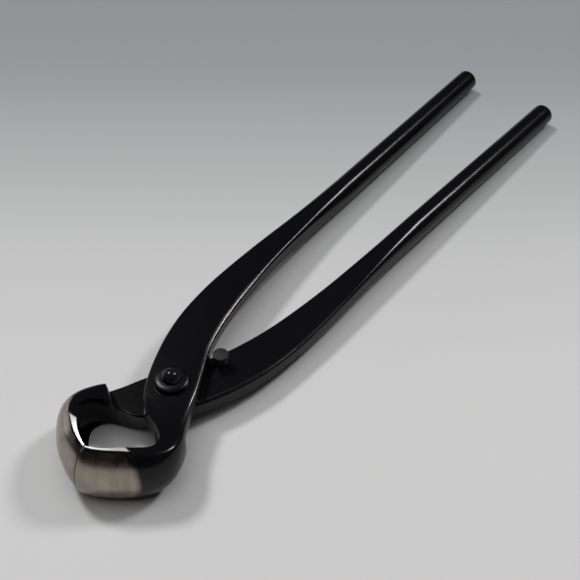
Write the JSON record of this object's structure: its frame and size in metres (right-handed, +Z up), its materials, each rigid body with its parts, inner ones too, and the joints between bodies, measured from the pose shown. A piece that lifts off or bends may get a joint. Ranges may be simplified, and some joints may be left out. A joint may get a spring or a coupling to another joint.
{
  "type": "spherical knob cutter",
  "caption": "Long-handled bonsai knob cutter: two crossed forged levers on a riveted pivot end in a hollow, ball-shaped concave jaw.",
  "frame": {"origin": "on the ground under the middle of the closed tool's box, with the tool lying flat", "axes": "+X along the handles away from the jaws, +Y to the side of the upper lever's handle, +Z up, along the pivot rivet"},
  "size_m": [0.2794, 0.0522, 0.026],
  "materials": {
    "forged_steel": "forged carbon steel with a semi-gloss black oxide skin, ground bright on the jaws",
    "black_steel": "turned carbon steel with a black oxide skin"
  },
  "bodies": {
    "lower_half": {"lower_lever": "forged_steel", "pivot_rivet": "black_steel", "top_washer": "black_steel", "bottom_washer": "black_steel", "stop_pin": "black_steel"},
    "upper_half": {"upper_lever": "forged_steel"}
  },
  "joints": [
    {"name": "pivot_hinge", "type": "hinge", "parent": "lower_half", "child": "upper_half", "pos_m": [-0.09235, 0, 0.014], "axis": [0, 0, 1], "range_deg": [0, 35]}
  ]
}
